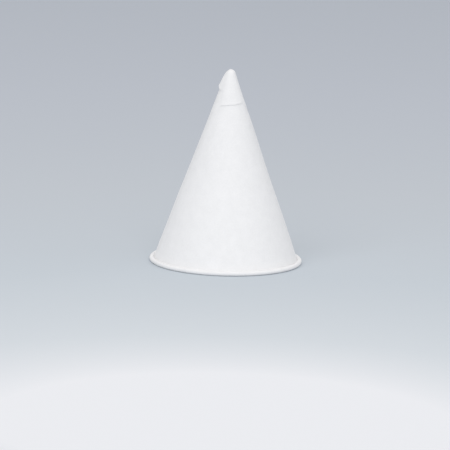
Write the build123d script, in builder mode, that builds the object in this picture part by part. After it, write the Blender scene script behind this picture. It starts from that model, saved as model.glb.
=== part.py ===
"""Cone paper cup with a rolled rim, standing on its mouth.

One sheet of paper is wound into a cone. Its outer end climbs over its inner end and laps it
down the side. Near the tip the outer end wraps all round as a second ply, with a stepped lower
edge. The edge of the mouth is rolled outwards. The laps are stuck, so the cup is one solid.

+Z runs up the axis of the cone to its tip. The origin is the centre of the ring that the rim
rests on. Angles are in degrees, counted anticlockwise from +X by someone who looks down -Z.
"""

import os
from math import acos, atan2, cos, degrees, hypot, radians, sin, sqrt

from build123d import *

# Driving dimensions, millimetres
cup_height = 93.5  # from the resting plane to the top of the tip
rim_diameter = 73.0  # across the outside of the rolled rim
paper = 0.2  # one ply
tip_radius = 2.7  # outside of the blunt tip, second ply included

# Rolled rim
roll_height = 2.2
roll_flat = 0.2  # width of the ring that lies flat on a table
roll_air = 0.12  # space between the roll's layers
roll_last_turn = 200.0  # angle that the roll's inner layer turns through

# Side seam, with its widths measured round the mouth
seam_edge = 10.0  # angle of the sheet's outer edge, the one seen from outside
seam_lap = 9.5  # from the outer edge to the inner edge, two plies thick
seam_climb = 8.3  # beyond the inner edge, where the outer ply comes off the inner ply
seam_tuck = 0.4  # how far the seam runs on into the roll
climb_steps = 6  # sections that shape the climb

# Second ply over the tip, with its lengths measured down the axis from the top
hood_length = 8.4  # all round
flap_length = 16.1  # from the flap's free side round to the seam
flap_edge = -125.0  # angle of the flap's free side
hood_overlap = 1.0  # how far the climb starts above the hood's edge

# Middle of the ply in a half plane through the axis: a tip arc, a straight wall and a roll
tip_z = cup_height - tip_radius
tip_middle = tip_radius - 1.5 * paper
roll_middle = (roll_height - paper) / 2
roll_x = (rim_diameter - roll_height) / 2 - roll_flat
roll_z = roll_height / 2
span = hypot(roll_x, tip_z - roll_z)
lean = degrees(acos((tip_middle + roll_middle) / span) - atan2(tip_z - roll_z, roll_x))
wall_length = sqrt(span**2 - (tip_middle + roll_middle) ** 2)
inner_roll_middle = roll_middle - (paper + roll_air) / (1 + sin(radians(lean)))

# The two faces of a ply and of the second ply on it, off the middle of the first
inside = -paper / 2
outside = paper / 2
second_outside = outside + paper

down_wall = Vector(sin(radians(lean)), -cos(radians(lean)))
off_wall = Vector(cos(radians(lean)), sin(radians(lean)))
mouth_radius = roll_x - roll_middle * off_wall.X
climb_angle = degrees(seam_climb / mouth_radius)
inner_edge = seam_edge + degrees(seam_lap / mouth_radius)
seam_end = wall_length + seam_tuck


def half_plane(angle):
    """Half plane through the axis at this angle."""
    return Plane.XZ.rotated((0, 0, angle))


def on_wall(along, off):
    """Point on the wall: along from the end of the tip arc, off from the middle of the ply."""
    return Vector(0, tip_z) + off_wall * (tip_middle + off) + down_wall * along


def tip_arc(off):
    """Tip of one face of the sheet, from the axis to where the straight wall starts."""
    return JernArc((0, tip_z + tip_middle + off), (1, 0), tip_middle + off, lean - 90)


def sheet_face(off):
    """One face of the sheet: over the tip, down the wall and round the roll."""
    tip = tip_arc(off)
    wall = Line(tip @ 1, on_wall(wall_length, off))
    under = JernArc(wall @ 1, wall % 1, roll_middle - off, 90 - lean)
    flat = Line(under @ 1, under @ 1 + Vector(roll_flat, 0))
    over = JernArc(flat @ 1, flat % 1, roll_middle - off, 180)
    top = Line(over @ 1, over @ 1 - Vector(roll_flat, 0))
    inner = JernArc(top @ 1, top % 1, inner_roll_middle - off, roll_last_turn)
    return tip @ 0, inner @ 1


def wall_section(angle, start, end, near, far):
    """Section of a straight stretch of wall in the half plane at this angle."""
    with BuildSketch(half_plane(angle)) as section:
        Polygon(on_wall(start, near), on_wall(end, near), on_wall(end, far), on_wall(start, far), align=None)
    return section.sketch


def wedge(start, end, level):
    """All that lies between the resting plane and this level, from one angle to another."""
    with BuildSketch(half_plane(start)) as section:
        Rectangle(rim_diameter, level, align=Align.MIN)
    return revolve(section.sketch, axis=Axis.Z, revolution_arc=end - start, mode=Mode.PRIVATE)


# The sheet's outer end: a second ply over the tip that runs down the side as the seam's lap
with BuildPart() as outer_end:
    with BuildSketch(Plane.XZ):
        with BuildLine():
            near = tip_arc(outside)
            far = tip_arc(second_outside)
            Line(near @ 0, far @ 0)
            Polyline(near @ 1, on_wall(seam_end, outside), on_wall(seam_end, second_outside), far @ 1)
        make_face()
    revolve(axis=Axis.Z)
    add(wedge(inner_edge, flap_edge + 360, cup_height - hood_length), mode=Mode.SUBTRACT)
    add(wedge(inner_edge, seam_edge + 360, cup_height - flap_length), mode=Mode.SUBTRACT)

with BuildPart() as cup:
    # Wound cone with its rolled rim
    with BuildSketch(Plane.XZ):
        with BuildLine():
            outer_start, outer_stop = sheet_face(outside)
            inner_start, inner_stop = sheet_face(inside)
            Line(outer_start, inner_start)
            Line(outer_stop, inner_stop)
        make_face()
    revolve(axis=Axis.Z)

    # Gap beyond the sheet's inner edge, cut right through one ply
    climb_start = (hood_length - hood_overlap - tip_radius) / cos(radians(lean))
    gap = wall_section(inner_edge, climb_start, wall_length, inside - paper, outside + paper)
    revolve(gap, axis=Axis.Z, revolution_arc=climb_angle, mode=Mode.SUBTRACT)

    # Stretch that fills the gap and climbs by one ply, which leaves a step inside the cup
    climb = []
    for step in range(climb_steps + 1):
        share = step / climb_steps
        rise = paper * (1 - share * share * (3 - 2 * share))
        angle = inner_edge + share * climb_angle
        climb.append(wall_section(angle, climb_start, seam_end, inside + rise, outside + rise))
    loft(climb)

    add(outer_end.part)

cup.part.label = "cup"

os.makedirs("parts", exist_ok=True)
export_step(cup.part, "parts/cup.step")

print(f"wall leans {lean:.2f} degrees, mouth radius {mouth_radius:.2f} mm")
print(f"volume {cup.part.volume:.1f} mm3, valid {cup.part.is_valid}, solids {len(cup.part.solids())}")
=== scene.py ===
"""Cone paper cup with a rolled rim, standing on its mouth on a floor with a painted pool of
light.

The cup is one wound sheet. A point of it is placed by PHI, how far the sheet has wound, and by
s, the length from the tip along the middle of the ply down the wall and into the roll.
"""

from math import acos, atan2, cos, exp, hypot, pi, radians, sin, sqrt

import bmesh
import bpy
from mathutils import Matrix, Vector, noise


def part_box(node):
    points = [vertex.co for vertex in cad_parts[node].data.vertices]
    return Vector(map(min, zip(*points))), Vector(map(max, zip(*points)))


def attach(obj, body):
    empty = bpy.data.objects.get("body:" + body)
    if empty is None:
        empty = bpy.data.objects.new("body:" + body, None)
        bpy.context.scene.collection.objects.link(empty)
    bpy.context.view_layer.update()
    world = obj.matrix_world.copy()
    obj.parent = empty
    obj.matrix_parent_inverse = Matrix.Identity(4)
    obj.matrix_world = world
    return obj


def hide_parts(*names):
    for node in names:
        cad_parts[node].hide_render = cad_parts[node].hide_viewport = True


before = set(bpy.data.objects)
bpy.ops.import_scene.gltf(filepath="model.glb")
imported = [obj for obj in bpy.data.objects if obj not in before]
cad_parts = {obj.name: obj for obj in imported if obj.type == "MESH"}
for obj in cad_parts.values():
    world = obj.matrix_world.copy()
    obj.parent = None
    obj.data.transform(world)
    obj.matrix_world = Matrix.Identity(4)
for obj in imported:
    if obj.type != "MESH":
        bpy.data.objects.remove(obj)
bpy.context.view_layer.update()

MM = 0.001

# The cup's sizes are those of part.py, in metres. The frame gives the overall ones.
low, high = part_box("cup")
CUP_HEIGHT = high[2] - low[2]
RIM_RADIUS = (high[0] - low[0]) / 2
PAPER = 0.2 * MM
TIP_RADIUS = 2.7 * MM
ROLL_HEIGHT = 2.2 * MM
ROLL_FLAT = 0.2 * MM
ROLL_AIR = 0.12 * MM
ROLL_LAST_TURN = radians(200)

# The side seam, and the second ply over the tip with the longer flap at the front
SEAM_EDGE = radians(10)
SEAM_LAP = 9.5 * MM
SEAM_CLIMB = 8.3 * MM
FLAP_EDGE = radians(-125)
HOOD_LENGTH = 8.4 * MM
FLAP_LENGTH = 16.1 * MM

# Middle of the ply in a half plane through the axis: a tip arc, a straight wall and a roll
TIP_Z = CUP_HEIGHT - TIP_RADIUS
TIP_MIDDLE = TIP_RADIUS - 1.5 * PAPER
ROLL_MIDDLE = (ROLL_HEIGHT - PAPER) / 2
ROLL_X = RIM_RADIUS - ROLL_HEIGHT / 2 - ROLL_FLAT
ROLL_Z = ROLL_HEIGHT / 2
SPAN = hypot(ROLL_X, TIP_Z - ROLL_Z)
LEAN = acos((TIP_MIDDLE + ROLL_MIDDLE) / SPAN) - atan2(TIP_Z - ROLL_Z, ROLL_X)
WALL = sqrt(SPAN**2 - (TIP_MIDDLE + ROLL_MIDDLE) ** 2)
INNER_ROLL = ROLL_MIDDLE - (PAPER + ROLL_AIR) / (1 + sin(LEAN))
MOUTH = ROLL_X - ROLL_MIDDLE * cos(LEAN)
INNER_EDGE = SEAM_EDGE + SEAM_LAP / MOUTH

# PHI is how far the sheet has wound from its inner edge, clockwise as seen from above.
PHI_CLIMB = 2 * pi - SEAM_CLIMB / MOUTH
PHI_LAP = 2 * pi + INNER_EDGE - SEAM_EDGE
PHI_FLAP = 2 * pi + INNER_EDGE - FLAP_EDGE
PHI_HOOD = PHI_LAP + 2 * pi

# Lengths of the path's pieces along the middle of the ply, from the tip to the sheet's edge
TIP_ARC = TIP_MIDDLE * (pi / 2 - LEAN)
PIECES = [
    ("tip", TIP_ARC),
    ("wall", WALL),
    ("under", ROLL_MIDDLE * (pi / 2 - LEAN)),
    ("flat", ROLL_FLAT),
    ("over", ROLL_MIDDLE * pi),
    ("top", ROLL_FLAT),
    ("inner", INNER_ROLL * ROLL_LAST_TURN),
]
ROLL_START = TIP_ARC + WALL


def smooth(x):
    """Eased step from 0 at x = 0 to 1 at x = 1."""
    x = min(max(x, 0.0), 1.0)
    return x * x * (3 - 2 * x)


def path(s, off):
    """Radius, height and outward normal of the path at length s, off from the ply's middle."""
    for name, length in PIECES:
        if s <= length or name == "inner":
            break
        s -= length
    if name == "tip":
        turn = pi / 2 - s / TIP_MIDDLE
        n = (cos(turn), sin(turn))
        return (TIP_MIDDLE + off) * n[0], TIP_Z + (TIP_MIDDLE + off) * n[1], n
    if name == "wall":
        n = (cos(LEAN), sin(LEAN))
        r = (TIP_MIDDLE + off) * n[0] + s * sin(LEAN)
        return r, TIP_Z + (TIP_MIDDLE + off) * n[1] - s * cos(LEAN), n
    if name == "under":
        turn = LEAN + s / ROLL_MIDDLE
        n = (cos(turn), sin(turn))
        return ROLL_X - (ROLL_MIDDLE - off) * n[0], ROLL_Z - (ROLL_MIDDLE - off) * n[1], n
    if name == "flat":
        return ROLL_X + s, ROLL_Z - ROLL_MIDDLE + off, (0.0, 1.0)
    if name == "over":
        turn = pi / 2 + s / ROLL_MIDDLE
        n = (cos(turn), sin(turn))
        r = ROLL_X + ROLL_FLAT - (ROLL_MIDDLE - off) * n[0]
        return r, ROLL_Z - (ROLL_MIDDLE - off) * n[1], n
    if name == "top":
        return ROLL_X + ROLL_FLAT - s, ROLL_Z + ROLL_MIDDLE - off, (0.0, -1.0)
    turn = 1.5 * pi + s / INNER_ROLL
    n = (cos(turn), sin(turn))
    centre_z = ROLL_Z + ROLL_MIDDLE - INNER_ROLL
    return ROLL_X - (INNER_ROLL - off) * n[0], centre_z - (INNER_ROLL - off) * n[1], n


def down_to_path(down):
    """Length along the path of the point this far below the top of the tip."""
    return TIP_ARC + (down - TIP_RADIUS + (TIP_MIDDLE + PAPER) * sin(LEAN)) / cos(LEAN)


# Rows of the grid that the second ply's edges follow. The flap is longest at the seam.
FLAP_AT_SEAM = FLAP_LENGTH + 4.2 * MM
HOOD_ROW = down_to_path(HOOD_LENGTH)
FLAP_ROW = down_to_path(FLAP_AT_SEAM)


def between(x, points):
    """Smooth curve through (x, y) points."""
    for (x0, y0), (x1, y1) in zip(points, points[1:]):
        if x <= x1:
            return y0 + (y1 - y0) * smooth((x - x0) / (x1 - x0))
    return points[-1][1]


def front(angle):
    """PHI of the second ply where it lies this many degrees to the right of the front."""
    return 2 * pi + INNER_EDGE - radians(angle - 90)


# Lower edges of the second ply: PHI, and millimetres below the top of the tip
FLAP_LINE = [
    (PHI_LAP, FLAP_AT_SEAM / MM),
    (front(72), 17.4),
    (front(50), 15.6),
    (front(10), 16.0),
    (front(-24), 16.5),
    (PHI_FLAP, 16.9),
]
HOOD_LINE = [
    (PHI_LAP, HOOD_LENGTH / MM),
    (front(0), 9.4),
    (PHI_FLAP, 10.0),
    (front(-62), 9.6),
    (front(-90), 8.3),
    (front(-125), 7.4),
    (front(-200), 7.8),
    (PHI_HOOD, HOOD_LENGTH / MM),
]


def warp(phi, s):
    """Moves the second ply's rows so that its edges lie along their lines."""
    if phi <= PHI_LAP:
        return s
    hood = down_to_path(between(phi, HOOD_LINE) * MM)
    flap = down_to_path(between(phi, FLAP_LINE) * MM)
    if s <= HOOD_ROW:
        return s * hood / HOOD_ROW
    return hood + (s - HOOD_ROW) * (flap - hood) / (FLAP_ROW - HOOD_ROW)


# How far the second ply's edges and its corner on the left stand off the first ply
LAP_CURL = 0.03 * MM
FLAP_CURL = 0.09 * MM
SIDE_CURL = 0.05 * MM
HOOD_CURL = 0.05 * MM
CORNER_STAND = 0.70 * MM
CORNER_WIDTH = radians(22)
# How far it is pressed into the first ply beside the seam
PRESS = 0.10 * MM
# Radius of the cone half way down the flap
FLAP_RADIUS = 6 * MM


def curl(distance, width):
    """Share of an edge's curl at this distance from the edge, out to the curl's width."""
    return smooth(1 - distance / width)


def lift(phi, s):
    """How far the second ply stands off the first: its free edges curl up a little."""
    if phi <= PHI_LAP:
        return LAP_CURL * curl((PHI_LAP - phi) * MOUTH, 2.5 * MM) if s > FLAP_ROW else 0.0
    beside_seam = smooth((phi - PHI_LAP) / radians(14)) * smooth((front(48) - phi) / radians(14))
    if phi > PHI_FLAP:
        loose = HOOD_CURL * curl(HOOD_ROW - s, 2.5 * MM)
    else:
        loose = FLAP_CURL * curl(FLAP_ROW - s, 3.0 * MM) * smooth((phi - front(62)) / radians(20))
        if s > HOOD_ROW:
            loose = max(loose, SIDE_CURL * curl((PHI_FLAP - phi) * FLAP_RADIUS, 2.0 * MM))
    from_corner = (phi - front(-90)) / CORNER_WIDTH
    stand = exp(-from_corner * from_corner) * smooth((phi - front(-50)) / radians(12))
    stand *= min(s / HOOD_ROW, 1.0) ** 1.6
    return loose - PRESS * beside_seam + CORNER_STAND * stand


# Heights of the wall's waves and of its belly, and of the roll's small faults
SLOW_WAVE = 0.30 * MM
FINE_WAVE = 0.06 * MM
BELLY = 0.35 * MM
FLARE = 0.30 * MM
CRIMP = 0.05 * MM
LUMP = 0.10 * MM
RISE = 0.07 * MM
# The tip has sunk a little on its left side.
SLUMP_IN = 0.45 * MM
SLUMP_DOWN = 0.30 * MM


def round_noise(theta, turns, height, seed=(0, 0, 0)):
    """Noise on a cylinder, so that it closes on itself; more turns make smaller waves."""
    return noise.noise(Vector((cos(theta) * turns, sin(theta) * turns, height)) + Vector(seed))


def unevenness(theta, s, z):
    """Gentle waves of the wound paper and a slight belly, which fade out at the tip."""
    slow = round_noise(theta, 1.3, 1.3 * z / (45 * MM), (3.1, 7.7, 1.9))
    fine = round_noise(theta, 3.5, z / (14 * MM))
    belly = smooth((s - 45 * MM) / (30 * MM))
    fade = smooth(s / (12 * MM)) * smooth((ROLL_START - s) / (10 * MM) + 0.25)
    return fade * (SLOW_WAVE * slow + FINE_WAVE * fine + BELLY * belly)


def roll_wrinkle(theta, s):
    """Small crimps and lumps of the rolled rim, inwards, and its slight rises off the floor."""
    share = smooth((s - ROLL_START) / (1.2 * MM))
    crimp = abs(round_noise(theta, 30, s / (4 * MM)))
    lump = abs(round_noise(theta, 7, 4.2))
    rise = (1 + round_noise(theta, 3, 9.4)) / 2
    return share * (CRIMP * crimp + LUMP * lump), share * RISE * rise


def sheet_point(phi, s, face):
    """Place of a point of the sheet, on its outer face (+1) or inner face (-1)."""
    theta = INNER_EDGE - phi
    layer = PAPER * smooth((phi - PHI_CLIMB) / (2 * pi - PHI_CLIMB))
    if s > ROLL_START:
        layer /= 2
    length = warp(phi, s)
    r, z, n = path(length, layer + lift(phi, s) + face * PAPER / 2)

    above_roll = (ROLL_START - s - 1.4 * MM) / (1.5 * MM)
    flare = exp(-above_roll * above_roll) * smooth((ROLL_START - s) / (0.6 * MM))
    wave = unevenness(theta, length, z) + FLARE * flare
    inwards, upwards = roll_wrinkle(theta, s)
    r += wave * n[0] - inwards
    z += wave * n[1] + upwards

    slump = curl(s, 6 * MM) * max(0.0, -cos(theta)) ** 2
    r -= SLUMP_IN * slump * smooth(r / (1.5 * MM))
    z -= SLUMP_DOWN * slump * smooth(r / (1.5 * MM))
    r = max(r, 0.0)
    return r * cos(theta), r * sin(theta), z


def spread(start, end, count):
    """Evenly spaced values after start, up to end itself."""
    return [start + (end - start) * i / count for i in range(1, count)] + [end]


def build_cup():
    """One wound sheet with two faces and all its edges, as a grid of PHI and path length."""
    rows = [0.0] + spread(0, TIP_ARC, 8) + spread(TIP_ARC, HOOD_ROW, 9)
    rows += spread(HOOD_ROW, FLAP_ROW, 12) + spread(FLAP_ROW, ROLL_START, 44)
    for (_, length), count in zip(PIECES[2:], (8, 2, 18, 2, 14)):
        rows += spread(rows[-1], rows[-1] + length, count)
    columns = [0.0] + spread(0, PHI_CLIMB, 230) + spread(PHI_CLIMB, 2 * pi, 12)
    columns += spread(2 * pi, PHI_LAP, 12) + spread(PHI_LAP, PHI_FLAP, 96)
    columns += spread(PHI_FLAP, PHI_HOOD, 150)
    lap_column = columns.index(PHI_LAP)
    flap_column = columns.index(PHI_FLAP)
    hood_row = rows.index(HOOD_ROW)
    flap_row = rows.index(FLAP_ROW)

    def is_paper(i, j):
        """Whether the cell between this column and row and the next ones is paper."""
        if not (0 <= i < len(columns) - 1 and 0 <= j < len(rows) - 1):
            return False
        if i < lap_column:
            return True
        return j < (flap_row if i < flap_column else hood_row)

    places, faces, index = [], [], {}

    def corner(i, j, face):
        """Number of this grid point's vertex on one face, made when first asked for."""
        key = (i, j, face)
        if key not in index:
            index[key] = len(places)
            places.append(sheet_point(columns[i], rows[j], face))
        return index[key]

    for i in range(len(columns) - 1):
        for j in range(len(rows) - 1):
            if not is_paper(i, j):
                continue
            ring = [(i, j), (i + 1, j), (i + 1, j + 1), (i, j + 1)]
            faces.append([corner(*c, 1) for c in ring])
            faces.append([corner(*c, -1) for c in reversed(ring)])
            beyond = [(i, j - 1), (i + 1, j), (i, j + 1), (i - 1, j)]
            for k in range(4):
                at_axis = j == 0 and k == 0
                if at_axis or is_paper(*beyond[k]):
                    continue
                a, b = ring[k], ring[(k + 1) % 4]
                faces.append([corner(*b, 1), corner(*a, 1), corner(*a, -1), corner(*b, -1)])
    mesh = bpy.data.meshes.new("cup_paper")
    mesh.from_pydata(places, [], faces)
    return mesh


def paper_material():
    """Matt white paper: cloudy fibre tone, a fine tooth, and longer fibres in the bump."""
    material = bpy.data.materials.new("white_paper")
    material.use_nodes = True
    nodes, links = material.node_tree.nodes, material.node_tree.links
    shader = nodes["Principled BSDF"]
    shader.inputs["Roughness"].default_value = 0.72
    shader.inputs["Specular IOR Level"].default_value = 0.35
    shader.inputs["Sheen Weight"].default_value = 0.12
    shader.inputs["Sheen Roughness"].default_value = 0.6
    where = nodes.new("ShaderNodeTexCoord")

    def cloud(scale, detail, stretch=(1, 1, 1)):
        mapping = nodes.new("ShaderNodeMapping")
        mapping.inputs["Scale"].default_value = stretch
        links.new(where.outputs["Object"], mapping.inputs["Vector"])
        pattern = nodes.new("ShaderNodeTexNoise")
        pattern.inputs["Scale"].default_value = scale
        pattern.inputs["Detail"].default_value = detail
        links.new(mapping.outputs["Vector"], pattern.inputs["Vector"])
        return pattern.outputs["Fac"]

    formation = nodes.new("ShaderNodeMath")
    formation.operation = "ADD"
    links.new(cloud(260, 5), formation.inputs[0])
    links.new(cloud(1400, 3), formation.inputs[1])
    tone = nodes.new("ShaderNodeMapRange")
    tone.inputs["From Min"].default_value = 0.6
    tone.inputs["From Max"].default_value = 1.4
    links.new(formation.outputs[0], tone.inputs["Value"])
    colour = nodes.new("ShaderNodeMix")
    colour.data_type = "RGBA"
    colour.inputs["A"].default_value = (0.832, 0.829, 0.831, 1)
    colour.inputs["B"].default_value = (0.89, 0.885, 0.887, 1)
    links.new(tone.outputs["Result"], colour.inputs["Factor"])
    links.new(colour.outputs["Result"], shader.inputs["Base Color"])

    fibres = nodes.new("ShaderNodeMath")
    fibres.operation = "ADD"
    links.new(cloud(900, 4, (1, 1, 0.35)), fibres.inputs[0])
    links.new(cloud(2600, 2), fibres.inputs[1])
    bump = nodes.new("ShaderNodeBump")
    bump.inputs["Strength"].default_value = 0.22
    bump.inputs["Distance"].default_value = 0.05 * MM
    links.new(fibres.outputs[0], bump.inputs["Height"])
    links.new(bump.outputs["Normal"], shader.inputs["Normal"])
    return material


def add_cup():
    mesh = build_cup()
    cup = bpy.data.objects.new("cup_paper", mesh)
    bpy.context.collection.objects.link(cup)
    work = bmesh.new()
    work.from_mesh(mesh)
    bmesh.ops.remove_doubles(work, verts=work.verts, dist=1e-7)
    bmesh.ops.recalc_face_normals(work, faces=work.faces)
    work.to_mesh(mesh)
    work.free()
    mesh.polygons.foreach_set("use_smooth", [True] * len(mesh.polygons))
    mesh.set_sharp_from_angle(angle=radians(50))
    mesh.materials.append(paper_material())
    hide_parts("cup")
    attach(cup, "root")


# Floor colours, a painted pool of light that darkens with distance from its palest spot, 0.35 m
# in front
# of the cup: share 0 is 0.1 m and share 1 is 5 m, on a logarithmic scale. The last is the
# backdrop's colour too.
BACKDROP = (0.34, 0.37, 0.42)
FLOOR_LIGHT_POOL_COLOURS = [
    (0.0, (0.85, 0.86, 0.885)),
    (0.15, (0.67, 0.71, 0.745)),
    (0.3, (0.575, 0.622, 0.665)),
    (0.43, (0.536, 0.57, 0.61)),
    (0.54, (0.49, 0.52, 0.57)),
    (0.72, (0.40, 0.43, 0.476)),
    (1.0, BACKDROP),
]


def add_floor():
    """Floor with a painted pool of light: pale round one spot, it darkens with distance into a
    grey-blue backdrop.
    """
    bpy.ops.mesh.primitive_circle_add(vertices=128, radius=12, fill_type="NGON")
    floor = bpy.context.object
    floor.name = "floor"
    material = bpy.data.materials.new("floor_painted_light_pool")
    material.use_nodes = True
    nodes, links = material.node_tree.nodes, material.node_tree.links
    shader = nodes["Principled BSDF"]
    shader.inputs["Roughness"].default_value = 0.9
    shader.inputs["Specular IOR Level"].default_value = 0.1
    where = nodes.new("ShaderNodeTexCoord")
    shift = nodes.new("ShaderNodeVectorMath")
    shift.operation = "ADD"
    shift.inputs[1].default_value = (0, 0.35, 0)
    links.new(where.outputs["Object"], shift.inputs[0])
    distance = nodes.new("ShaderNodeVectorMath")
    distance.operation = "LENGTH"
    links.new(shift.outputs["Vector"], distance.inputs[0])
    logarithm = nodes.new("ShaderNodeMath")
    logarithm.operation = "LOGARITHM"
    logarithm.inputs[1].default_value = 10
    links.new(distance.outputs["Value"], logarithm.inputs[0])
    share = nodes.new("ShaderNodeMapRange")
    share.inputs["From Min"].default_value = -1.0
    share.inputs["From Max"].default_value = 0.7
    links.new(logarithm.outputs[0], share.inputs["Value"])
    # The ramp paints the pool of light and its fall-off into the floor's base colour.
    ramp = nodes.new("ShaderNodeValToRGB")
    for place, _ in FLOOR_LIGHT_POOL_COLOURS[1:-1]:
        ramp.color_ramp.elements.new(place)
    for element, (place, colour) in zip(ramp.color_ramp.elements, FLOOR_LIGHT_POOL_COLOURS):
        element.position = place
        element.color = (*colour, 1)
    links.new(share.outputs["Result"], ramp.inputs["Fac"])
    links.new(ramp.outputs["Color"], shader.inputs["Base Color"])
    floor.data.materials.append(material)


def add_light():
    """Even soft light: a pale sky all round, a wide sun in front, and two weak ones beside it."""
    world = bpy.data.worlds.new("studio")
    bpy.context.scene.world = world
    world.use_nodes = True
    nodes, links = world.node_tree.nodes, world.node_tree.links
    sky = nodes["Background"]
    sky.inputs["Color"].default_value = (0.985, 0.985, 1.0, 1)
    sky.inputs["Strength"].default_value = 0.62
    seen = nodes.new("ShaderNodeBackground")
    seen.inputs["Color"].default_value = (*BACKDROP, 1)
    seen.inputs["Strength"].default_value = 1
    ray = nodes.new("ShaderNodeLightPath")
    mix = nodes.new("ShaderNodeMixShader")
    links.new(ray.outputs["Is Camera Ray"], mix.inputs["Fac"])
    links.new(sky.outputs["Background"], mix.inputs[1])
    links.new(seen.outputs["Background"], mix.inputs[2])
    links.new(mix.outputs["Shader"], nodes["World Output"].inputs["Surface"])

    for name, turn, strength, width in (
        ("key", (48, 0, -12), 1.25, 70),
        ("fill", (60, 0, 75), 0.35, 90),
        ("back", (60, 0, 195), 0.3, 90),
    ):
        lamp = bpy.data.lights.new(name, "SUN")
        lamp.energy = strength
        lamp.angle = radians(width)
        holder = bpy.data.objects.new(name, lamp)
        holder.rotation_euler = [radians(a) for a in turn]
        bpy.context.collection.objects.link(holder)


CAMERA_DISTANCE = 3.0
CAMERA_ELEVATION = radians(11)
CAMERA_ROLL = radians(1.5)
# Where it aims, and how much it takes in from side to side there
CAMERA_AIM = Vector((-0.0007, 0.0, 0.0178))
PICTURE_WIDTH = 215.55 * MM


def add_camera():
    """Long lens, a little above the cup and rolled slightly."""
    away = Vector((0, -cos(CAMERA_ELEVATION), sin(CAMERA_ELEVATION)))
    camera = bpy.data.cameras.new("camera")
    camera.sensor_width = 36
    camera.lens = camera.sensor_width * CAMERA_DISTANCE / PICTURE_WIDTH
    holder = bpy.data.objects.new("camera", camera)
    place = Matrix.Translation(CAMERA_AIM + away * CAMERA_DISTANCE)
    facing = (-away).to_track_quat("-Z", "Y").to_matrix().to_4x4()
    holder.matrix_world = place @ facing @ Matrix.Rotation(CAMERA_ROLL, 4, "Z")
    bpy.context.collection.objects.link(holder)
    bpy.context.scene.camera = holder


add_camera()
add_cup()
add_floor()
add_light()
bpy.context.scene.view_settings.view_transform = "Standard"
